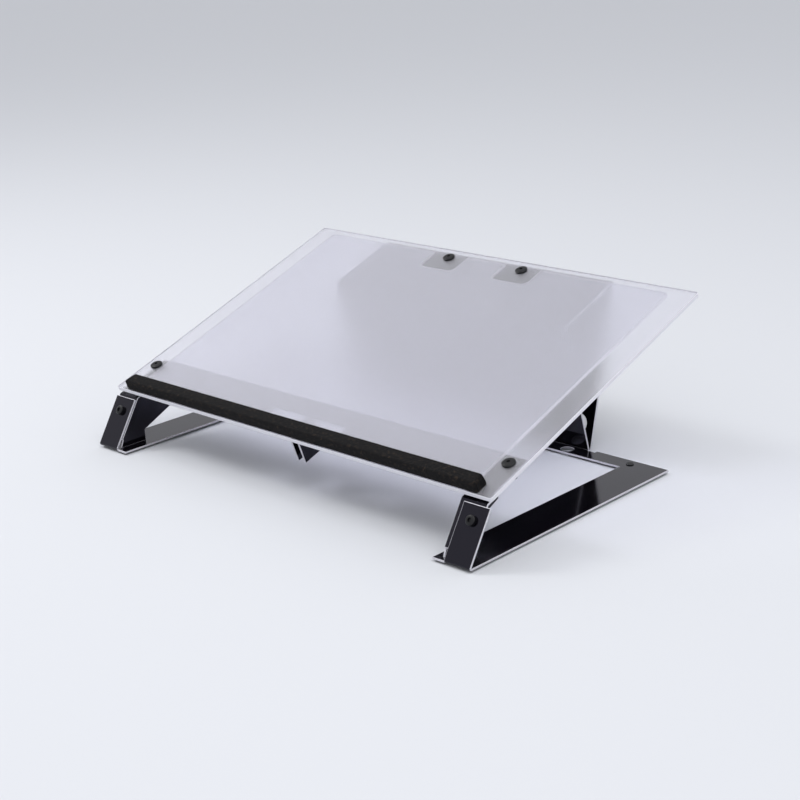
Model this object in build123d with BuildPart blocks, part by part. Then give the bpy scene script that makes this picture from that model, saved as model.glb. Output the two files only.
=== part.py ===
from build123d import *
import os
from math import atan2, cos, radians, sin, tan

os.makedirs("parts", exist_ok=True)

# A sloping document holder for a desk, with a drawer sheet that slides out under its writing board.
# Millimetres. +X is the user's right, +Y is away from the user and +Z is up. The origin is on the
# desk, under the middle of the whole object. Side views are worked out from the base's front edge.

# ---- Sheet steel ----
sheet_t = 2.0                   # thickness of every folded steel sheet
bend_r = 2.3                    # outer radius of a fold

# ---- Base frame: two side strips, a rear crossbar, two front tabs and the rear plate ----
base_w = 500.0
base_d = 292.0
strip_w = 42.3
crossbar_w = 20.7
tab_w = 29.0
tab_lean = 31.6                 # degrees back from upright
rear_plate_foot = 2.4           # how far the rear plate's fold stands behind the strips
rear_plate_half_low = 158.0     # half width at the desk
rear_plate_half_high = 151.5    # half width at the board
rear_lip = 34.0                 # lip at the top of the rear plate, under the support's flange
relief_w = 8.0                  # slot at each end of the rear fold
relief_d = 3.5
cable_hole_x = 139.0
cable_hole_r = 6.5              # in the crossbar
cable_hole_setback = 12.2       # from the crossbar's rear edge
plate_hole_r = 9.0              # in the rear plate
plate_hole_z = 24.0             # above the base's underside

# ---- Rubber feet ----
foot_t = 2.0                    # pad under the base
foot_pad_r = 7.0
foot_neck_r = 2.6
foot_button_r = 3.6
foot_button_t = 0.9
foot_x_rear = base_w / 2 - 37.7
foot_inset_rear = 9.5           # from the base's rear edge
foot_y_front = 20.0             # behind the base's front edge

# ---- Board and drawer ----
board_w = base_w                # the board is as wide as the base
board_len = 328.3
board_t = 4.0
board_corner_r = 3.0
board_tilt = 19.8               # degrees
board_front_y = 29.3            # the board's lower front corner, behind the base's front edge
board_front_z = 52.5            # and above the base's underside
drawer_w = board_w - 50.0
drawer_front = 6.0              # its front edge, behind the board's
drawer_rear = board_len - 6.3
drawer_t = 3.0
drawer_shift = -5.5             # it lies against the left spacer
drawer_corner_r = 4.0
drawer_lift = 0.3               # running gap over the steel
drawer_headroom = 0.6           # gap under the board
notch_half = 23.2               # notches that clear the rear spacers
notch_front = board_len - 34.3
notch_r = 7.0

# ---- Foam ledge ----
ledge_half = board_w / 2 - 15.7
ledge_front = 1.5               # behind the board's front edge
ledge_d = 14.5
ledge_h = 10.5
ledge_r = 2.2

# ---- Front cross plate ----
crossplate_half = base_w / 2 - 7.0
crossplate_front = 8.0          # between the legs
crossplate_rear = 60.8
leg_inner = base_w / 2 - 32.2
leg_outer = base_w / 2 - 3.5
leg_shift = -2.35                # both leg flanges sit a little to the left of their tabs
leg_clear = 13.5                # bottom of the leg flange, up the slope from the tab's corner
leg_shoulder = 13.0             # the plate narrows here, up the slope from the board's front edge
gusset_depth = 34.6             # below the board's underside
gusset_rear = 39.0              # along the board
gusset_foot_y = 36.7            # upright rear edge of the gusset's foot, behind the base's front edge
gusset_foot_h = 11.6            # height of that edge
gusset_toe_gap = 2.0            # its foot stands back from the tab
window_inner = 5.8
window_w = 41.0
window_front = 9.5
window_rear = 36.0
lug_depth = 33.0                # below the board's underside

# ---- Rear support ----
support_bend = board_len - 87.3 # fold between the front plate and the flange, along the board
support_rear = board_len - 0.3
support_foot_gap = 2.5          # from the base's rear edge to the front plate's foot

# ---- Fasteners ----
screw_r = 2.5
screw_clearance = 0.15
screw_head_r = 6.3
screw_head_t = 2.6
screw_socket_w = 4.0            # across flats
screw_socket_d = 1.5
front_screw_x = base_w / 2 - 14.7
front_screw_s = 44.8
rear_screw_x = 48.7
rear_screw_s = board_len - 15.6
spacer_r = 4.5
washer_r = 5.0
washer_t = 1.0
nut_w = 8.0                     # across flats
nut_t = 4.0
screw_tip = 1.0                 # thread that shows beyond the nut
leg_bolt_up = 41.7              # from the tab's corner, up its slope
leg_bolt_head_r = 4.8
leg_bolt_head_t = 3.6

# ---- Derived sizes ----
drawer_gap = drawer_headroom + drawer_t + drawer_lift
tilt = radians(board_tilt)
lean = radians(tab_lean)
base_top = foot_t + sheet_t
hole_r = screw_r + screw_clearance
tab_half = base_w / 2
tab_inner = tab_half - tab_w
tab_x = tab_half - tab_w / 2


def side(along, above):
    """Side view point (y from the base's front edge, z) of a place along and above the board's underside."""
    y = board_front_y + along * cos(tilt) - above * sin(tilt)
    z = foot_t + board_front_z + along * sin(tilt) + above * cos(tilt)
    return (y, z)


# The rear fold of the lip is the rearmost place, so it gives the object's depth.
lip_level = -drawer_gap - sheet_t
rear_corner = side(support_rear, lip_level)
rear_foot = (base_d + rear_plate_foot, foot_t)
rear_angle = atan2(rear_corner[1] - rear_foot[1], rear_corner[0] - rear_foot[0])
half_fold = (rear_angle - tilt) / 2
fold_reach = bend_r / sin(half_fold)
fold_centre_y = rear_corner[0] - fold_reach * cos(tilt + half_fold)
depth_mid = (fold_centre_y + bend_r) / 2

# The tab's fold is as far forward as the strips' front ends.
tab_corner_y = bend_r - bend_r * tan((radians(90) + lean) / 2)
tab_corner = (tab_corner_y, foot_t)

# The tab ends level with the steel that the drawer runs over.
tab_rise = (foot_t + board_front_z - tab_corner[1]) * cos(tilt)
tab_reach = (tab_corner[0] - board_front_y) * sin(tilt)
tab_len = (tab_rise + tab_reach - drawer_gap) / (cos(lean) * cos(tilt) - sin(lean) * sin(tilt))


def centred(point):
    """Side view point moved from the base's front edge to the object's middle."""
    return (point[0] - depth_mid, point[1])


def on_tab(up, behind):
    """Side view point up the tab's outer face and behind it."""
    y = tab_corner[0] + up * sin(lean) + behind * cos(lean)
    z = tab_corner[1] + up * cos(lean) - behind * sin(lean)
    return (y, z)


def slope(above):
    """Plane parallel to the board, with its origin at the board's front edge and local Y up the slope."""
    y, z = centred(side(0, above))
    return Plane(origin=(0, y, z), x_dir=(1, 0, 0), z_dir=(0, -sin(tilt), cos(tilt)))


def tab_plane(x, up, behind):
    """Plane on a tab at one place, with its normal towards the user."""
    y, z = centred(on_tab(up, behind))
    return Plane(origin=(x, y, z), x_dir=(1, 0, 0), z_dir=(0, -cos(lean), sin(lean)))


def folded(x, outline, hand):
    """Section of a folded sheet on the plane at x: its outer face follows the outline."""
    with BuildSketch(Plane.YZ.offset(x)) as section:
        with BuildLine():
            FilletPolyline(*[centred(point) for point in outline], radius=bend_r)
            offset(amount=sheet_t, side=hand)
        make_face()
    return section.sketch


def finish(builder, label):
    """Name one piece and write its STEP file."""
    builder.part.label = label
    export_step(builder.part, f"parts/{label}.step")


hands = {"left": -1, "right": 1}

# ---- Base frame ----
tab_outline = [(base_d / 4, foot_t), tab_corner, on_tab(tab_len, 0)]
rear_outline = [
    (base_d - crossbar_w / 2, foot_t),
    rear_foot,
    rear_corner,
    side(support_rear - rear_lip, lip_level),
]

# Outline of the rear box seen from the front: it narrows towards the board.
with BuildPart() as rear_envelope:
    with BuildSketch(Plane.XZ.offset(depth_mid)):
        with BuildLine():
            Polyline(
                (-rear_plate_half_low, 0),
                (rear_plate_half_low, 0),
                (rear_plate_half_high, rear_corner[1] + bend_r),
                (-rear_plate_half_high, rear_corner[1] + bend_r),
                close=True,
            )
        make_face()
    extrude(amount=-3 * depth_mid)

with BuildPart() as rear_plate_blank:
    extrude(folded(0, rear_outline, Side.LEFT), amount=rear_plate_half_low, both=True)
    add(rear_envelope.part, mode=Mode.INTERSECT)
    for hand in hands.values():
        hole_plane = Plane.XZ.offset(-rear_corner[0])
        with BuildSketch(hole_plane):
            with Locations((hand * cable_hole_x, foot_t + plate_hole_z)):
                Circle(plate_hole_r)
        extrude(amount=2 * rear_corner[0], mode=Mode.SUBTRACT)

with BuildPart() as base_frame:
    front_y = -depth_mid
    rear_y = base_d - depth_mid
    opening_w = base_w - 2 * strip_w
    with BuildSketch(Plane.XY.offset(foot_t)):
        with Locations((0, front_y)):
            Rectangle(base_w, base_d, align=(Align.CENTER, Align.MIN))
            Rectangle(
                opening_w,
                base_d - crossbar_w,
                align=(Align.CENTER, Align.MIN),
                mode=Mode.SUBTRACT,
            )
        # The fold takes the strip's front end where the tab rises.
        for hand in hands.values():
            with Locations((hand * tab_x, front_y)):
                Rectangle(tab_w, bend_r, align=(Align.CENTER, Align.MIN), mode=Mode.SUBTRACT)
            with Locations((hand * (rear_plate_half_low + relief_w / 2), rear_y)):
                Rectangle(relief_w, 2 * relief_d, mode=Mode.SUBTRACT)
    extrude(amount=sheet_t)
    for hand in hands.values():
        inner = hand * tab_inner
        extrude(folded(inner, tab_outline, Side.RIGHT), amount=hand * tab_w)
    add(rear_plate_blank.part)
    # Holes: cables, feet, leg bolts and the rear screws.
    with BuildSketch(Plane.XY.offset(foot_t)):
        with Locations(*[(hand * cable_hole_x, rear_y - cable_hole_setback) for hand in hands.values()]):
            Circle(cable_hole_r)
        with Locations(*[(hand * foot_x_rear, rear_y - foot_inset_rear) for hand in hands.values()]):
            Circle(foot_neck_r)
        with Locations(*[(hand * tab_x, front_y + foot_y_front) for hand in hands.values()]):
            Circle(foot_neck_r)
    extrude(amount=sheet_t, mode=Mode.SUBTRACT)
    for hand in hands.values():
        with BuildSketch(tab_plane(hand * tab_x, leg_bolt_up, 0)):
            Circle(hole_r)
        extrude(amount=-sheet_t, mode=Mode.SUBTRACT)
    with BuildSketch(slope(lip_level)):
        with Locations(*[(hand * rear_screw_x, rear_screw_s) for hand in hands.values()]):
            Circle(hole_r)
    extrude(amount=-sheet_t, mode=Mode.SUBTRACT)
finish(base_frame, "base_frame")

# ---- Rear support: front plate of the rear box, and the flange under the board ----
support_foot = (base_d - support_foot_gap, base_top)
support_outline = [support_foot, side(support_bend, -drawer_gap), side(support_rear, -drawer_gap)]

with BuildPart() as rear_support:
    extrude(folded(0, support_outline, Side.RIGHT), amount=rear_plate_half_low, both=True)
    add(rear_envelope.part, mode=Mode.INTERSECT)
    # The foot is cut level, so that it stands flat on the crossbar.
    with BuildSketch(Plane.XY.offset(base_top)):
        Rectangle(2 * base_w, 2 * base_d)
    extrude(amount=-base_top, mode=Mode.SUBTRACT)
    with BuildSketch(slope(-drawer_gap)):
        with Locations(*[(hand * rear_screw_x, rear_screw_s) for hand in hands.values()]):
            Circle(hole_r)
    extrude(amount=-sheet_t, mode=Mode.SUBTRACT)
finish(rear_support, "rear_support")

# ---- Front cross plate ----
leg_top = side(0, -drawer_gap)
leg_low = on_tab(leg_clear, sheet_t)
leg_high = on_tab(tab_len, sheet_t)
# Sharp corner where the leg flange's outer face meets the plate's top face.
leg_rise = (leg_high[0] - leg_low[0], leg_high[1] - leg_low[1])
cross = leg_rise[0] * sin(tilt) - leg_rise[1] * cos(tilt)
reach = ((leg_top[0] - leg_low[0]) * sin(tilt) - (leg_top[1] - leg_low[1]) * cos(tilt)) / cross
leg_corner = (leg_low[0] + reach * leg_rise[0], leg_low[1] + reach * leg_rise[1])
leg_outline = [leg_low, leg_corner, side(crossplate_rear, -drawer_gap)]

gusset_top = side(gusset_rear, -drawer_gap - sheet_t / 2)
gusset_corner = side(gusset_rear, -gusset_depth)
gusset_foot_high = base_top + gusset_foot_h
gusset_low = on_tab(leg_clear, sheet_t + sheet_t / 2)
gusset_toe_y = gusset_low[0] - (gusset_low[1] - base_top) * tan(lean) + gusset_toe_gap

with BuildPart() as front_crossplate:
    plate_len = crossplate_rear - crossplate_front
    with BuildSketch(slope(-drawer_gap)):
        with Locations((0, crossplate_front)):
            Rectangle(2 * crossplate_half, plate_len, align=(Align.CENTER, Align.MIN))
    extrude(amount=-sheet_t)
    for hand in hands.values():
        leg_w = leg_outer - leg_inner
        extrude(folded(hand * leg_inner + leg_shift, leg_outline, Side.RIGHT), amount=hand * leg_w)
        with BuildSketch(Plane.YZ.offset(hand * leg_inner + leg_shift)):
            with BuildLine():
                Polyline(
                    centred((gusset_toe_y, base_top)),
                    centred((gusset_foot_y, base_top)),
                    centred((gusset_foot_y, gusset_foot_high)),
                    centred(gusset_corner),
                    centred(gusset_top),
                    centred((leg_high[0] + sheet_t, gusset_top[1] - (gusset_top[0] - leg_high[0]) * tan(tilt))),
                    centred(on_tab(leg_bolt_up, sheet_t)),
                    centred(gusset_low),
                    close=True,
                )
            make_face()
        extrude(amount=hand * sheet_t)
        lug_x = hand * (window_inner - sheet_t / 2)
        with BuildSketch(slope(-lug_depth)):
            with Locations((lug_x, window_front)):
                Rectangle(sheet_t, window_rear - window_front, align=(Align.CENTER, Align.MIN))
        extrude(amount=lug_depth - drawer_gap - sheet_t / 2)
    with BuildSketch(slope(-drawer_gap)):
        for hand in hands.values():
            with Locations((hand * leg_outer, leg_shoulder)):
                Rectangle(
                    2 * (leg_outer - crossplate_half),
                    2 * crossplate_rear,
                    align=(Align.CENTER, Align.MIN),
                )
            with Locations((hand * (window_inner + window_w / 2), window_front)):
                Rectangle(window_w, window_rear - window_front, align=(Align.CENTER, Align.MIN))
            with Locations((hand * front_screw_x, front_screw_s)):
                Circle(hole_r)
    extrude(amount=-sheet_t, mode=Mode.SUBTRACT)
    for hand in hands.values():
        with BuildSketch(tab_plane(hand * tab_x, leg_bolt_up, sheet_t)):
            Circle(hole_r)
        extrude(amount=-sheet_t, mode=Mode.SUBTRACT)
finish(front_crossplate, "front_crossplate")

# ---- Writing board ----
screw_places = {
    "front_left": (-front_screw_x, front_screw_s, sheet_t),
    "front_right": (front_screw_x, front_screw_s, sheet_t),
    "rear_left": (-rear_screw_x, rear_screw_s, 2 * sheet_t),
    "rear_right": (rear_screw_x, rear_screw_s, 2 * sheet_t),
}

with BuildPart() as board:
    with BuildSketch(slope(0)) as board_face:
        Rectangle(board_w, board_len, align=(Align.CENTER, Align.MIN))
        fillet(board_face.vertices(), board_corner_r)
        with Locations(*[(x, s) for x, s, steel in screw_places.values()]):
            Circle(hole_r, mode=Mode.SUBTRACT)
    extrude(amount=board_t)
finish(board, "board")

# ---- Drawer sheet: two notches at the rear clear the rear spacers ----
with BuildPart() as drawer:
    drawer_len = drawer_rear - drawer_front
    with BuildSketch(slope(-drawer_headroom)) as drawer_face:
        with Locations((drawer_shift, drawer_front)):
            Rectangle(drawer_w, drawer_len, align=(Align.CENTER, Align.MIN))
        fillet(drawer_face.vertices(), drawer_corner_r)
        for hand in hands.values():
            with Locations((hand * rear_screw_x + drawer_shift, notch_front + drawer_len / 2)):
                RectangleRounded(2 * notch_half, drawer_len, notch_r, mode=Mode.SUBTRACT)
    extrude(amount=-drawer_t)
finish(drawer, "drawer")

# ---- Foam ledge ----
with BuildPart() as paper_ledge:
    with BuildSketch(slope(board_t)):
        with Locations((0, ledge_front)):
            Rectangle(2 * ledge_half, ledge_d, align=(Align.CENTER, Align.MIN))
    extrude(amount=ledge_h)
    ledge_top = paper_ledge.faces().sort_by(Axis(origin=(0, 0, 0), direction=slope(0).z_dir))[-1]
    fillet(ledge_top.edges(), ledge_r)
finish(paper_ledge, "paper_ledge")

# ---- Board screws, spacers, washers and nuts ----
for place, (x, s, steel) in screw_places.items():
    steel_low = -drawer_gap - steel
    with BuildPart() as screw:
        with BuildSketch(slope(board_t)):
            with Locations((x, s)):
                Circle(screw_head_r)
        extrude(amount=screw_head_t)
        rim = screw.edges().filter_by(GeomType.CIRCLE).sort_by(Axis.Z)[-1]
        fillet(rim, screw_head_t / 3)
        with BuildSketch(slope(board_t + screw_head_t)):
            with Locations((x, s)):
                RegularPolygon(screw_socket_w / 2, 6, major_radius=False)
        extrude(amount=-screw_socket_d, mode=Mode.SUBTRACT)
        with BuildSketch(slope(board_t)):
            with Locations((x, s)):
                Circle(screw_r)
        extrude(amount=steel_low - washer_t - nut_t - screw_tip - board_t)
    finish(screw, f"board_screw_{place}")

    with BuildPart() as spacer:
        with BuildSketch(slope(0)):
            with Locations((x, s)):
                Circle(spacer_r)
                Circle(hole_r, mode=Mode.SUBTRACT)
        extrude(amount=-drawer_gap)
    finish(spacer, f"spacer_{place}")

    with BuildPart() as washer:
        with BuildSketch(slope(steel_low)):
            with Locations((x, s)):
                Circle(washer_r)
                Circle(hole_r, mode=Mode.SUBTRACT)
        extrude(amount=-washer_t)
    finish(washer, f"washer_{place}")

    with BuildPart() as nut:
        with BuildSketch(slope(steel_low - washer_t)):
            with Locations((x, s)):
                RegularPolygon(nut_w / 2, 6, major_radius=False)
                Circle(screw_r, mode=Mode.SUBTRACT)
        extrude(amount=-nut_t)
    finish(nut, f"nut_{place}")

# ---- Leg bolts through the tabs and the leg flanges ----
for name, hand in hands.items():
    x = hand * tab_x
    with BuildPart() as leg_bolt:
        with BuildSketch(tab_plane(x, leg_bolt_up, 0)):
            Circle(leg_bolt_head_r)
        extrude(amount=leg_bolt_head_t)
        with BuildSketch(tab_plane(x, leg_bolt_up, -leg_bolt_head_t)):
            RegularPolygon(screw_socket_w / 2, 6, major_radius=False)
        extrude(amount=-screw_socket_d, mode=Mode.SUBTRACT)
        with BuildSketch(tab_plane(x, leg_bolt_up, 0)):
            Circle(screw_r)
        extrude(amount=-2 * sheet_t - washer_t - nut_t - screw_tip)
    finish(leg_bolt, f"leg_bolt_{name}")

    with BuildPart() as leg_washer:
        with BuildSketch(tab_plane(x, leg_bolt_up, 2 * sheet_t)):
            Circle(washer_r)
            Circle(hole_r, mode=Mode.SUBTRACT)
        extrude(amount=-washer_t)
    finish(leg_washer, f"leg_washer_{name}")

    with BuildPart() as leg_nut:
        with BuildSketch(tab_plane(x, leg_bolt_up, 2 * sheet_t + washer_t)):
            RegularPolygon(nut_w / 2, 6, major_radius=False)
            Circle(screw_r, mode=Mode.SUBTRACT)
        extrude(amount=-nut_t)
    finish(leg_nut, f"leg_nut_{name}")

# ---- Rubber feet, pushed up through the base ----
foot_places = {
    "front_left": (-tab_x, foot_y_front),
    "front_right": (tab_x, foot_y_front),
    "rear_left": (-foot_x_rear, base_d - foot_inset_rear),
    "rear_right": (foot_x_rear, base_d - foot_inset_rear),
}
for place, (x, y) in foot_places.items():
    with BuildPart() as foot:
        with BuildSketch(Plane.XY):
            with Locations((x, y - depth_mid)):
                Circle(foot_pad_r)
        extrude(amount=foot_t)
        with BuildSketch(Plane.XY.offset(foot_t)):
            with Locations((x, y - depth_mid)):
                Circle(foot_neck_r)
        extrude(amount=sheet_t)
        with BuildSketch(Plane.XY.offset(base_top)):
            with Locations((x, y - depth_mid)):
                Circle(foot_button_r)
        extrude(amount=foot_button_t)
    finish(foot, f"foot_{place}")
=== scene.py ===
import bpy
import bmesh
from math import cos, radians, sin, tau
from mathutils import Matrix, Vector, noise
from mathutils.bvhtree import BVHTree


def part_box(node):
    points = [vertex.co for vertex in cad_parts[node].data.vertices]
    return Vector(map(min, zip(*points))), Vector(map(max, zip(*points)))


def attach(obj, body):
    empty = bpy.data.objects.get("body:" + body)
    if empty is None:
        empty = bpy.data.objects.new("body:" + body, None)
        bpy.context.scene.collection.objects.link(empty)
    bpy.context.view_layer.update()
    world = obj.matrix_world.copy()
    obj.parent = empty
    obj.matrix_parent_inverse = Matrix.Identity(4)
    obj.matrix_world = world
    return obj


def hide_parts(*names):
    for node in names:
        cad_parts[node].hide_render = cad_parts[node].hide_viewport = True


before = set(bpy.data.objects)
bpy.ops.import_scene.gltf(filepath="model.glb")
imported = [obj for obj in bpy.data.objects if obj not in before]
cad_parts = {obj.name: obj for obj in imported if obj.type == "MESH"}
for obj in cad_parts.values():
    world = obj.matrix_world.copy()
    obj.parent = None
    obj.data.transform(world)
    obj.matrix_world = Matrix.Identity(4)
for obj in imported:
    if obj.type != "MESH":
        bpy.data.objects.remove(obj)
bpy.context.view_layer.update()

# A sloping document holder: folded black steel, two frosted acrylic sheets and a foam ledge.
# Metres. +X is the user's right, +Y is away from the user, +Z is up.

MM = 0.001

# ---- Board and tabs: the directions that other pieces follow ----
BOARD_TILT = radians(19.8)
BOARD_THICK = 4.0 * MM
TAB_LEAN = radians(31.6)        # back from upright

# Up the board's slope, out of its face, and out of a tab's face.
SLOPE = Vector((0, cos(BOARD_TILT), sin(BOARD_TILT)))
FACE = Vector((0, -sin(BOARD_TILT), cos(BOARD_TILT)))
TAB_FACE = Vector((0, -cos(TAB_LEAN), sin(TAB_LEAN)))

# ---- Sheets ----
WELD = 0.01 * MM                # corners nearer than this are one corner
FLAT_WITHIN = radians(0.3)      # facets that turn less than this are one face
SHARP = radians(40)             # folds turn less than this from facet to facet, cut edges more
STEEL_CUT_WIDTH = 2.2 * MM      # a cut face is narrower than this; the sheet is 2 mm thick
STEEL_BREAK = 0.5 * MM          # width of the broken edges, which carry the steel's painted edge highlight
BOARD_BREAK = 0.35 * MM
DRAWER_BREAK = 0.3 * MM
BREAK_SEGMENTS = 2

# ---- Foam ledge ----
LEDGE_FRONT = 1.5 * MM          # behind the board's front edge
LEDGE_DEPTH = 14.5 * MM
LEDGE_HEIGHT = 10.5 * MM
LEDGE_ROUND = 2.2 * MM
LEDGE_ROUND_STEPS = 5
LEDGE_STATIONS = 150            # sections along its length
LEDGE_SLANT = 2.4 * MM          # how far the ledge's left end leans in from front to back
LEDGE_WORN = 3.2 * MM           # how far the upper rear corner of its right end is rubbed away
LEDGE_END = 2.6 * MM            # length over which its ends round off
LEDGE_END_STEPS = (0.0, 0.08, 0.3, 0.6)
LEDGE_END_PULL = 0.75           # share of a full round
LEDGE_END_REACH = 4 * LEDGE_END # the slant and the wear fade out over this length
FOAM_WAVE_RATE = 160.0          # unevenness in waves of about 6 mm
FOAM_WAVE = 0.22 * MM
FOAM_STUCK = 1.0 * MM           # up to this height the ledge keeps straight, stuck to the board

# ---- Screws: what the tree below is given, apart from the shank's length ----
BOARD_SCREW = {
    "Head Radius": 6.3 * MM,
    "Head Height": 2.6 * MM,
    "Crown Drop": 0.9 * MM,
    "Socket Width": 3.2 * MM,
    "Socket Depth": 1.0 * MM,
    "Shank Radius": 2.5 * MM,
}
LEG_BOLT = {
    "Head Radius": 4.8 * MM,
    "Head Height": 3.6 * MM,
    "Crown Drop": 0.8 * MM,
    "Socket Width": 4.0 * MM,
    "Socket Depth": 1.5 * MM,
    "Shank Radius": 2.5 * MM,
}
HEAD_SIDES = 48
HEAD_RINGS = 8
SHANK_SIDES = 24
CROWN_POWER = 6.0               # the higher, the flatter the crown's middle
HEX_CORNER = 0.577              # a hexagon's corner radius over its width across flats
CROWN_SHARE = 0.4               # top share of a head that finds its middle

# ---- Studio ----
FLOOR_HALF = 6.0
LAMP_TARGET = (0, 0, 0.1)
LAMPS = (                       # name, place, size and watts
    ("studio_key", (0.7, -0.3, 2.5), 1.6, 18.0),
    ("studio_side", (-1.55, -0.72, 1.75), 0.6, 14.0),
    ("studio_fill", (1.8, -1.6, 1.9), 1.6, 6.0),
)
SKY_COLOUR = "F2F3F7"
SKY_STRENGTH = 0.88

# The camera stands where the photograph was taken from.
CAMERA_PLACE = (1.039558, -1.085216, 0.555155)
CAMERA_AZIMUTH = radians(43.2906)       # to the right of the stand's front
CAMERA_DOWN = radians(18.3708)          # how far it looks down
CAMERA_ROLL = radians(-1.9170)
FOCAL_LENGTH = 71.859                   # mm, as is the sensor's width
SENSOR_WIDTH = 36.0

# Lower front edge of the board.
board_low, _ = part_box("board")
BOARD_EDGE = Vector((0, board_low[1] + BOARD_THICK * sin(BOARD_TILT), board_low[2]))


def on_board(x, along, above):
    """Point at x, along the slope from the board's front edge and above its underside."""
    return BOARD_EDGE + Vector((x, 0, 0)) + SLOPE * along + FACE * above


def add_object(name, data):
    """New object at the origin, in the scene."""
    added = bpy.data.objects.new(name, data)
    bpy.context.scene.collection.objects.link(added)
    return added


# ---- Colour and node helpers ----
def hex_colour(text):
    """Linear RGBA of an sRGB hex colour."""
    parts = []
    for start in (0, 2, 4):
        value = int(text[start:start + 2], 16) / 255
        linear = value / 12.92 if value <= 0.04045 else ((value + 0.055) / 1.055) ** 2.4
        parts.append(linear)
    return (*parts, 1.0)


def node(tree, kind, settings=None, inputs=None):
    """Add a node with its settings; an input is a value, or a (node, output) link."""
    added = tree.nodes.new(kind)
    for name, value in (settings or {}).items():
        setattr(added, name, value)
    for name, value in (inputs or {}).items():
        socket = added.inputs[name]
        if isinstance(value, tuple) and len(value) == 2 and isinstance(value[0], bpy.types.Node):
            tree.links.new(value[0].outputs[value[1]], socket)
        else:
            socket.default_value = value
    return added


def new_material(name):
    """An empty node material and its tree."""
    material = bpy.data.materials.new(name)
    material.use_nodes = True
    material.node_tree.nodes.clear()
    return material, material.node_tree


def finish_material(tree, shader):
    """Send a shader to the material's output."""
    node(tree, "ShaderNodeOutputMaterial", {}, {"Surface": (shader, "BSDF")})


def speckle(tree, scale, detail=2.0, roughness=0.5):
    """Noise over a piece's own coordinates."""
    place = node(tree, "ShaderNodeTexCoord")
    return node(tree, "ShaderNodeTexNoise", {}, {
        "Vector": (place, "Object"),
        "Scale": scale,
        "Detail": detail,
        "Roughness": roughness,
    })


def relief(tree, height, strength, distance):
    """Bump from a height."""
    return node(tree, "ShaderNodeBump", {}, {
        "Strength": strength,
        "Distance": distance,
        "Height": height,
    })


def ramp(tree, source, stops):
    """Colour ramp over a value, from (position, hex colour) stops."""
    added = node(tree, "ShaderNodeValToRGB", {}, {"Fac": source})
    elements = added.color_ramp.elements
    while len(elements) < len(stops):
        elements.new(0.5)
    for element, (position, colour) in zip(elements, stops):
        element.position = position
        element.color = hex_colour(colour)
    return added


def set_all(name, material):
    """Give a CAD node one material."""
    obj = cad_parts[name]
    if not obj.material_slots:
        obj.data.materials.append(material)
    for slot in obj.material_slots:
        slot.link = "OBJECT"
        slot.material = material


# ---- Materials ----
def powder_coated_steel():
    """Gloss black powder coat: a dark mirror, broken by a faint orange peel and handling haze."""
    material, tree = new_material("powder_coated_steel")
    peel = speckle(tree, 420.0, 1.0)        # waves of about 2.5 mm
    bump = relief(tree, (peel, "Fac"), 0.06, 0.08 * MM)
    haze = speckle(tree, 24.0, 4.0)         # patches of about 40 mm
    rough = node(tree, "ShaderNodeMapRange", {}, {
        "Value": (haze, "Fac"),
        "From Min": 0.35,
        "From Max": 0.7,
        "To Min": 0.07,
        "To Max": 0.15,
    })
    shader = node(tree, "ShaderNodeBsdfPrincipled", {}, {
        "Base Color": hex_colour("09080C"),
        "Roughness": (rough, "Result"),
        "IOR": 1.5,
        "Specular IOR Level": 0.36,
        "Specular Tint": hex_colour("E8E4FF"),
        "Normal": (bump, "Normal"),
    })
    finish_material(tree, shader)
    return material


def painted_edge_highlight():
    """Bright steel colour on the cut faces and broken edges: a painted edge highlight, with a fine
    grain.
    """
    material, tree = new_material("painted_highlight_steel_edge")
    grain = speckle(tree, 2600.0, 0.0)      # about 0.4 mm
    tone = ramp(tree, (grain, "Fac"), [(0.3, "BDBCC3"), (0.7, "E4E3E9")])
    shader = node(tree, "ShaderNodeBsdfPrincipled", {}, {
        "Base Color": (tone, "Color"),
        "Metallic": 0.55,
        "Roughness": 0.42,
    })
    finish_material(tree, shader)
    return material


def let_light_through(tree, shader):
    """Shadow rays pass the sheet as light does, so that what lies under it is lit."""
    path = node(tree, "ShaderNodeLightPath")
    share = node(tree, "ShaderNodeMath", {"operation": "MULTIPLY"}, {
        0: (path, "Is Shadow Ray"),
        1: 0.95,
    })
    gap = node(tree, "ShaderNodeBsdfTransparent", {}, {"Color": hex_colour("F4F4F8")})
    mix = node(tree, "ShaderNodeMixShader", {}, {
        0: (share, "Value"),
        1: (shader, "BSDF"),
        2: (gap, "BSDF"),
    })
    node(tree, "ShaderNodeOutputMaterial", {}, {"Surface": (mix, "Shader")})


def frosted_acrylic(name, roughness, through):
    """Cast acrylic with a satin face: it blurs what lies behind it, the more the deeper it is."""
    material, tree = new_material(name)
    grain = speckle(tree, 900.0)            # satin grain, drawn at 1 mm so that it shows
    bump = relief(tree, (grain, "Fac"), 0.04, 0.05 * MM)
    shader = node(tree, "ShaderNodeBsdfPrincipled", {}, {
        "Base Color": hex_colour("EEEEF4"),
        "Roughness": roughness,
        "IOR": 1.49,
        "Transmission Weight": through,
        "Normal": (bump, "Normal"),
    })
    let_light_through(tree, shader)
    return material


def sawn_acrylic_edge():
    """Sawn and lightly sanded edge: it gathers light from inside and looks nearly white."""
    material, tree = new_material("sawn_acrylic_edge")
    saw = speckle(tree, 1200.0, 1.0)        # saw marks of about 0.8 mm
    tone = ramp(tree, (saw, "Fac"), [(0.3, "DCDBE4"), (0.75, "F2F1F7")])
    shader = node(tree, "ShaderNodeBsdfPrincipled", {}, {
        "Base Color": (tone, "Color"),
        "Roughness": 0.45,
        "IOR": 1.49,
        "Transmission Weight": 0.15,
    })
    finish_material(tree, shader)
    return material


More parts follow.
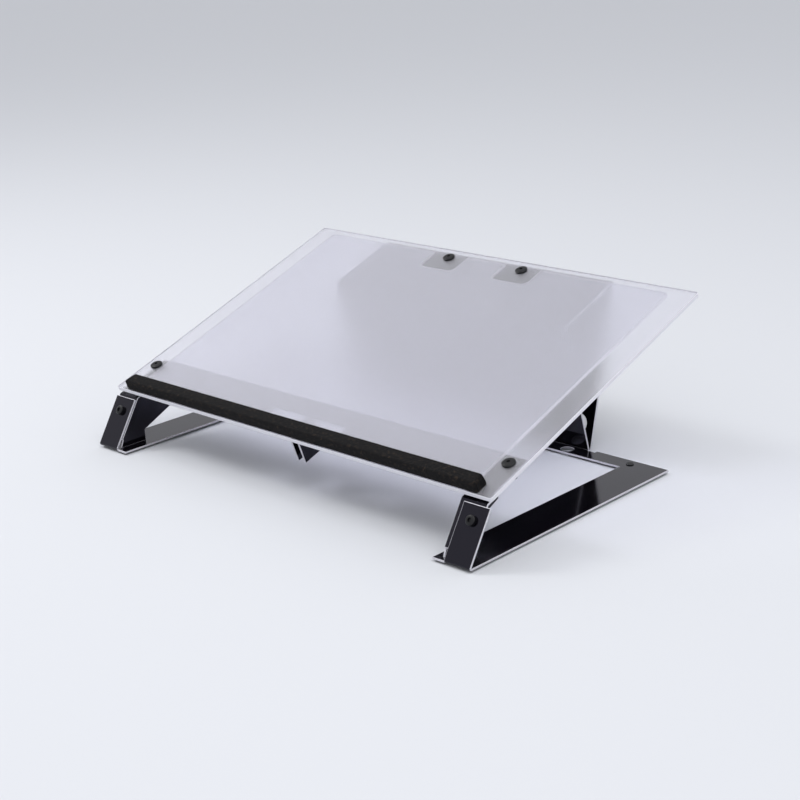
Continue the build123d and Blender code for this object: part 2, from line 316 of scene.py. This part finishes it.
def closed_cell_foam():
    """Closed-cell rubber foam with a cut skin: small open pores and brown-black crumbs."""
    material, tree = new_material("closed_cell_foam")
    place = node(tree, "ShaderNodeTexCoord")
    pores = node(tree, "ShaderNodeTexVoronoi", {}, {"Vector": (place, "Object"), "Scale": 620.0})
    crumbs = speckle(tree, 340.0, 5.0, 0.75)    # about 3 mm
    height = node(tree, "ShaderNodeMath", {"operation": "MULTIPLY"}, {
        0: (pores, "Distance"),
        1: (crumbs, "Fac"),
    })
    bump = relief(tree, (height, "Value"), 0.9, 0.9 * MM)
    colour = ramp(tree, (crumbs, "Fac"), [
        (0.40, "060506"),
        (0.57, "0C0B0D"),
        (0.64, "33291F"),
        (0.70, "0B0A0B"),
    ])
    shader = node(tree, "ShaderNodeBsdfPrincipled", {}, {
        "Base Color": (colour, "Color"),
        "Roughness": 0.8,
        "IOR": 1.45,
        "Specular IOR Level": 0.22,
        "Normal": (bump, "Normal"),
    })
    finish_material(tree, shader)
    return material


def black_oxide_steel():
    """Blackened machine screws: a dark satin skin over turned steel."""
    material, tree = new_material("black_oxide_steel")
    skin = speckle(tree, 1500.0)            # oxide grain of about 0.7 mm
    rough = node(tree, "ShaderNodeMapRange", {}, {
        "Value": (skin, "Fac"),
        "To Min": 0.28,
        "To Max": 0.5,
    })
    shader = node(tree, "ShaderNodeBsdfPrincipled", {}, {
        "Base Color": hex_colour("08080C"),
        "Roughness": (rough, "Result"),
        "IOR": 1.5,
        "Specular IOR Level": 0.34,
    })
    finish_material(tree, shader)
    return material


def moulded_black(name, scale, dark, light, roughness):
    """Moulded rubber or nylon: dull black with a fine bloom."""
    material, tree = new_material(name)
    bloom = speckle(tree, scale)
    tone = ramp(tree, (bloom, "Fac"), [(0.3, dark), (0.7, light)])
    shader = node(tree, "ShaderNodeBsdfPrincipled", {}, {
        "Base Color": (tone, "Color"),
        "Roughness": roughness,
    })
    finish_material(tree, shader)
    return material


steel_coat = powder_coated_steel()
# the steel's cut faces and broken edges get a bright colour that paints their highlight
painted_highlight_steel = painted_edge_highlight()
board_acrylic = frosted_acrylic("frosted_acrylic_board", 0.24, 0.85)
drawer_acrylic = frosted_acrylic("frosted_acrylic_drawer", 0.27, 0.83)
acrylic_edge = sawn_acrylic_edge()
foam = closed_cell_foam()
screw_black = black_oxide_steel()
spacer_black = moulded_black("black_nylon", 700.0, "0E0E10", "18181A", 0.5)
rubber = moulded_black("moulded_rubber", 500.0, "111112", "1D1D1F", 0.65)

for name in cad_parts:
    if name.startswith("foot"):
        set_all(name, rubber)
    elif name.startswith("spacer"):
        set_all(name, spacer_black)
    else:
        set_all(name, screw_black)


# ---- Sheet pieces: the solid's own shape with its edges broken; on the steel, cut faces and broken edges carry a painted highlight ----
def sheet_piece(name, face_material, edge_material, is_cut, break_width, body):
    """Copy of a sheet's solid with cut faces and broken edges in the edge material, which on the
    steel is a painted highlight.
    """
    shape = bmesh.new()
    shape.from_mesh(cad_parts[name].data)
    bmesh.ops.remove_doubles(shape, verts=shape.verts, dist=WELD)
    bmesh.ops.dissolve_limit(shape, angle_limit=FLAT_WITHIN, verts=shape.verts, edges=shape.edges)
    shape.normal_update()
    for face in shape.faces:
        face.smooth = False
        face.material_index = 1 if is_cut(face) else 0
    mesh = bpy.data.meshes.new(name + "_sheet")
    shape.to_mesh(mesh)
    surface = BVHTree.FromBMesh(shape)
    shape.free()
    mesh.materials.append(face_material)
    mesh.materials.append(edge_material)
    piece = add_object(name + "_sheet", mesh)
    rounding = piece.modifiers.new("broken_edges", "BEVEL")
    rounding.width = break_width
    rounding.segments = BREAK_SEGMENTS
    rounding.limit_method = "ANGLE"
    rounding.angle_limit = SHARP
    rounding.use_clamp_overlap = False
    # the broken edges take the edge material: on the steel, a painted highlight line along each
    # edge
    rounding.material = 1
    bake_modifiers(piece)
    pull_in_strays(piece, surface, break_width)
    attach(piece, body)
    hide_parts(name)


def bake_modifiers(piece):
    """Turn a piece and its modifiers into a plain mesh."""
    bpy.context.view_layer.update()
    graph = bpy.context.evaluated_depsgraph_get()
    baked = bpy.data.meshes.new_from_object(piece.evaluated_get(graph))
    piece.modifiers.clear()
    piece.data = baked


def pull_in_strays(piece, surface, reach):
    """Where folds end, the bevel throws corners off the sheet; they go back to its surface."""
    for vertex in piece.data.vertices:
        point, _, _, distance = surface.find_nearest(vertex.co)
        if distance > reach:
            vertex.co = point


def steel_cut(face):
    """A narrow face whose edges are all sharp is where the sheet was cut."""
    joined = [edge for edge in face.edges if len(edge.link_faces) == 2]
    if any(edge.calc_face_angle(0) < SHARP for edge in joined):
        return False
    mean_width = 2 * face.calc_area() / face.calc_perimeter()
    return mean_width < STEEL_CUT_WIDTH


def acrylic_cut(face):
    """A face that looks along the sheet is its sawn edge."""
    return abs(face.normal.dot(FACE)) < 0.5


# steel cut faces and broken edges are painted bright as edge highlights
for name in ("base_frame", "rear_support", "front_crossplate"):
    sheet_piece(name, steel_coat, painted_highlight_steel, steel_cut, STEEL_BREAK, "stand")
sheet_piece("board", board_acrylic, acrylic_edge, acrylic_cut, BOARD_BREAK,
            "stand")
sheet_piece("drawer", drawer_acrylic, acrylic_edge, acrylic_cut, DRAWER_BREAK,
            "drawer")


# ---- Foam ledge ----
def ledge_outline():
    """Side-view outline, upper corners rounded, from the front bottom round to the rear bottom."""
    height = LEDGE_HEIGHT - LEDGE_ROUND
    outline = [(0.0, 0.0), (0.0, height / 2)]
    for centre, start in ((LEDGE_ROUND, 0.5), (LEDGE_DEPTH - LEDGE_ROUND, 0.25)):
        for step in range(LEDGE_ROUND_STEPS + 1):
            angle = tau * (start - 0.25 * step / LEDGE_ROUND_STEPS)
            outline.append((centre + LEDGE_ROUND * cos(angle), height + LEDGE_ROUND * sin(angle)))
    outline.append((LEDGE_DEPTH, height / 2))
    outline.append((LEDGE_DEPTH, 0.0))
    return outline


def ledge_places(half):
    """Places of the ledge's sections, from -1 at its left end to 1, closer together at the ends."""
    cap = LEDGE_END / half
    between = 2 - 2 * cap
    places = [-1 + cap * step for step in LEDGE_END_STEPS]
    places += [-1 + cap + between * i / LEDGE_STATIONS for i in range(LEDGE_STATIONS + 1)]
    places += [1 - cap * step for step in reversed(LEDGE_END_STEPS)]
    return places


def ledge_section(place, half, outline):
    """Points of the outline at a place: drawn in at the ends, slanted left and worn right."""
    from_end = (1 - abs(place)) * half
    inset = 0.0
    if from_end < LEDGE_END:
        lean = 1 - from_end / LEDGE_END
        inset = LEDGE_END * (1 - (1 - lean * lean) ** 0.5) * LEDGE_END_PULL
    near_end = max(0.0, 1 - from_end / LEDGE_END_REACH)
    points = []
    for along, above in outline:
        if place > 0:
            corner = (along / LEDGE_DEPTH) ** 2 * (above / LEDGE_HEIGHT) ** 2
            x = place * half - LEDGE_WORN * corner * near_end
        else:
            x = place * half + LEDGE_SLANT * along / LEDGE_DEPTH * near_end
        middle = LEDGE_DEPTH / 2
        pull_along = middle + (along - middle) * (1 - inset / middle)
        pull_above = above * (1 - inset / LEDGE_HEIGHT)
        points.append(on_board(x, LEDGE_FRONT + pull_along, BOARD_THICK + pull_above))
    return points


def roughen_foam(shape):
    """The cut foam is a little uneven on its open sides."""
    for vert in shape.verts:
        above = (vert.co - BOARD_EDGE).dot(FACE) - BOARD_THICK
        if above > FOAM_STUCK:
            wave = noise.noise(vert.co * FOAM_WAVE_RATE) * FOAM_WAVE
            vert.co += (FACE * 0.6 + SLOPE * 0.4) * min(wave, 0.0)


def foam_ledge():
    """Foam bar along the board's front edge."""
    _, ledge_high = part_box("paper_ledge")
    half = ledge_high[0]
    outline = ledge_outline()
    shape = bmesh.new()
    rings = []
    for place in ledge_places(half):
        rings.append([shape.verts.new(point) for point in ledge_section(place, half, outline)])
    for first, second in zip(rings, rings[1:]):
        for i in range(len(outline)):
            j = (i + 1) % len(outline)
            shape.faces.new((first[i], first[j], second[j], second[i]))
    shape.faces.new(rings[0])
    shape.faces.new(list(reversed(rings[-1])))
    bmesh.ops.recalc_face_normals(shape, faces=shape.faces)
    for face in shape.faces:
        face.smooth = len(face.verts) == 4
    roughen_foam(shape)
    mesh = bpy.data.meshes.new("foam_ledge")
    shape.to_mesh(mesh)
    shape.free()
    mesh.materials.append(foam)
    piece = add_object("foam_ledge", mesh)
    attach(piece, "stand")
    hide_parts("paper_ledge")


foam_ledge()


# ---- Screws: one tree makes a low domed head with its socket and shank at each place ----
def screw_tree():
    """Geometry Nodes tree that stands a socket screw on every point."""
    tree = bpy.data.node_groups.new("socket_screws", "GeometryNodeTree")
    tree.interface.new_socket("Points", in_out="INPUT", socket_type="NodeSocketGeometry")
    for label in (*BOARD_SCREW, "Shank Length"):
        tree.interface.new_socket(label, in_out="INPUT", socket_type="NodeSocketFloat")
    tree.interface.new_socket("Turn", in_out="INPUT", socket_type="NodeSocketRotation")
    tree.interface.new_socket("Material", in_out="INPUT", socket_type="NodeSocketMaterial")
    tree.interface.new_socket("Screws", in_out="OUTPUT", socket_type="NodeSocketGeometry")
    given = node(tree, "NodeGroupInput")

    def times(a, b):
        """Product of two values."""
        return node(tree, "ShaderNodeMath", {"operation": "MULTIPLY"}, {0: a, 1: b}), "Value"

    def lift(shape, height):
        """Move a shape up the screw's axis."""
        move = node(tree, "ShaderNodeCombineXYZ", {}, {"Z": height})
        return node(tree, "GeometryNodeTransform", {}, {
            "Geometry": shape,
            "Translation": (move, "Vector"),
        })

    # Head: a disc whose crown falls away towards the rim.
    disc = node(tree, "GeometryNodeMeshCylinder", {"fill_type": "TRIANGLE_FAN"}, {
        "Vertices": HEAD_SIDES,
        "Side Segments": 1,
        "Fill Segments": HEAD_RINGS,
        "Radius": (given, "Head Radius"),
        "Depth": (given, "Head Height"),
    })
    half_head = times((given, "Head Height"), 0.5)
    head = lift((disc, "Mesh"), half_head)
    spot = node(tree, "GeometryNodeInputPosition")
    parts = node(tree, "ShaderNodeSeparateXYZ", {}, {"Vector": (spot, "Position")})
    flat = node(tree, "ShaderNodeCombineXYZ", {}, {"X": (parts, "X"), "Y": (parts, "Y")})
    reach = node(tree, "ShaderNodeVectorMath", {"operation": "LENGTH"}, {0: (flat, "Vector")})
    share = node(tree, "ShaderNodeMath", {"operation": "DIVIDE"}, {
        0: (reach, "Value"),
        1: (given, "Head Radius"),
    })
    curve = node(tree, "ShaderNodeMath", {"operation": "POWER"}, {
        0: (share, "Value"),
        1: CROWN_POWER,
    })
    drop = times((curve, "Value"), (given, "Crown Drop"))
    fall = node(tree, "ShaderNodeCombineXYZ", {}, {"Z": times(drop, -1.0)})
    on_top = node(tree, "FunctionNodeCompare",
                  {"data_type": "FLOAT", "operation": "GREATER_THAN"},
                  {0: (parts, "Z"), 1: half_head})
    crowned = node(tree, "GeometryNodeSetPosition", {}, {
        "Geometry": (head, "Geometry"),
        "Selection": (on_top, "Result"),
        "Offset": (fall, "Vector"),
    })

    # Its hexagonal socket is cut out, and the shank stands below.
    key = node(tree, "GeometryNodeMeshCylinder", {}, {
        "Vertices": 6,
        "Radius": times((given, "Socket Width"), HEX_CORNER),
        "Depth": times((given, "Socket Depth"), 2.0),
    })
    key_up = lift((key, "Mesh"), (given, "Head Height"))
    cut = node(tree, "GeometryNodeMeshBoolean", {"operation": "DIFFERENCE", "solver": "EXACT"})
    tree.links.new(crowned.outputs["Geometry"], cut.inputs["Mesh 1"])
    tree.links.new(key_up.outputs["Geometry"], cut.inputs["Mesh 2"])
    rod = node(tree, "GeometryNodeMeshCylinder", {}, {
        "Vertices": SHANK_SIDES,
        "Radius": (given, "Shank Radius"),
        "Depth": (given, "Shank Length"),
    })
    rod_down = lift((rod, "Mesh"), times((given, "Shank Length"), -0.5))
    whole = node(tree, "GeometryNodeJoinGeometry")
    tree.links.new(cut.outputs["Mesh"], whole.inputs["Geometry"])
    tree.links.new(rod_down.outputs["Geometry"], whole.inputs["Geometry"])

    placed = node(tree, "GeometryNodeInstanceOnPoints", {}, {
        "Points": (given, "Points"),
        "Instance": (whole, "Geometry"),
        "Rotation": (given, "Turn"),
    })
    real = node(tree, "GeometryNodeRealizeInstances", {}, {"Geometry": (placed, "Instances")})
    flat_shaded = node(tree, "GeometryNodeSetShadeSmooth", {}, {
        "Geometry": (real, "Geometry"),
        "Shade Smooth": False,
    })
    coated = node(tree, "GeometryNodeSetMaterial", {}, {
        "Geometry": (flat_shaded, "Geometry"),
        "Material": (given, "Material"),
    })
    node(tree, "NodeGroupOutput", {}, {"Screws": (coated, "Geometry")})
    return tree


SCREWS = screw_tree()


def seat_of(name, direction, head_height):
    """Where a head sits: the middle of its node's head end, moved back by the head's height."""
    verts = [vertex.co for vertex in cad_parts[name].data.vertices]
    top = max(co.dot(direction) for co in verts)
    crown = [co for co in verts if co.dot(direction) > top - CROWN_SHARE * head_height]
    low = Vector(map(min, *crown))
    high = Vector(map(max, *crown))
    middle = (low + high) / 2
    return middle + direction * (top - head_height - middle.dot(direction))


def shank_below(name, direction, seat):
    """Length of a screw's shank under its head."""
    low = min(vertex.co.dot(direction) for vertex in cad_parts[name].data.vertices)
    return seat.dot(direction) - low


def screw_set(name, nodes, direction, turn, sizes):
    """Screws that point their heads in a direction, standing for the solids named."""
    seats = [seat_of(solid, direction, sizes["Head Height"]) for solid in nodes]
    mesh = bpy.data.meshes.new(name)
    mesh.from_pydata([tuple(seat) for seat in seats], [], [])
    piece = add_object(name, mesh)
    maker = piece.modifiers.new("socket_screws", "NODES")
    maker.node_group = SCREWS
    values = dict(sizes)
    values["Shank Length"] = shank_below(nodes[0], direction, seats[0])
    values["Turn"] = (turn, 0, 0)
    values["Material"] = screw_black
    for item in SCREWS.interface.items_tree:
        if item.in_out == "INPUT" and item.name in values:
            maker[item.identifier] = values[item.name]
    bake_modifiers(piece)
    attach(piece, "stand")
    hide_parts(*nodes)


for end in ("front", "rear"):
    pair = ["board_screw_" + end + "_left", "board_screw_" + end + "_right"]
    screw_set(end + "_board_screws", pair, FACE, BOARD_TILT, BOARD_SCREW)
screw_set("leg_bolts", ["leg_bolt_left", "leg_bolt_right"], TAB_FACE, tau / 4 - TAB_LEAN, LEG_BOLT)


# ---- Studio: floor, light and camera ----
def stage_floor():
    """Plain pale floor under the stand."""
    mesh = bpy.data.meshes.new("studio_floor")
    corners = [(-FLOOR_HALF, -FLOOR_HALF, 0), (FLOOR_HALF, -FLOOR_HALF, 0),
               (FLOOR_HALF, FLOOR_HALF, 0), (-FLOOR_HALF, FLOOR_HALF, 0)]
    mesh.from_pydata(corners, [], [(0, 1, 2, 3)])
    floor = add_object("studio_floor", mesh)
    material, tree = new_material("studio_floor")
    shader = node(tree, "ShaderNodeBsdfPrincipled", {}, {
        "Base Color": hex_colour("D7D9DD"),
        "Roughness": 0.9,
        "Specular IOR Level": 0.1,
    })
    finish_material(tree, shader)
    mesh.materials.append(material)


def studio_light(name, place, size, watts):
    """Soft square lamp aimed at the stand."""
    data = bpy.data.lights.new(name, "AREA")
    data.shape = "SQUARE"
    data.size = size
    data.energy = watts
    lamp = add_object(name, data)
    lamp.location = place
    aim = Vector(LAMP_TARGET) - Vector(place)
    lamp.rotation_euler = aim.to_track_quat("-Z", "Y").to_euler()


def studio_sky():
    """Even pale light from all round."""
    world = bpy.data.worlds.new("studio_world")
    world.use_nodes = True
    tree = world.node_tree
    tree.nodes.clear()
    sky = node(tree, "ShaderNodeBackground", {}, {
        "Color": hex_colour(SKY_COLOUR),
        "Strength": SKY_STRENGTH,
    })
    node(tree, "ShaderNodeOutputWorld", {}, {"Surface": (sky, "Background")})
    bpy.context.scene.world = world


def photo_camera():
    """Camera at the photograph's place, angle and width of view."""
    data = bpy.data.cameras.new("photo_camera")
    data.sensor_width = SENSOR_WIDTH
    data.lens = FOCAL_LENGTH
    camera = add_object("photo_camera", data)
    ahead = Vector((
        -sin(CAMERA_AZIMUTH) * cos(CAMERA_DOWN),
        cos(CAMERA_AZIMUTH) * cos(CAMERA_DOWN),
        -sin(CAMERA_DOWN),
    ))
    right = ahead.cross(Vector((0, 0, 1))).normalized()
    up = right.cross(ahead)
    right_rolled = right * cos(CAMERA_ROLL) + up * sin(CAMERA_ROLL)
    up_rolled = up * cos(CAMERA_ROLL) - right * sin(CAMERA_ROLL)
    turned = Matrix((right_rolled, up_rolled, -ahead)).transposed()
    camera.matrix_world = Matrix.Translation(CAMERA_PLACE) @ turned.to_4x4()
    bpy.context.scene.camera = camera


stage_floor()
for lamp_values in LAMPS:
    studio_light(*lamp_values)
studio_sky()
bpy.context.scene.view_settings.view_transform = "Standard"
photo_camera()
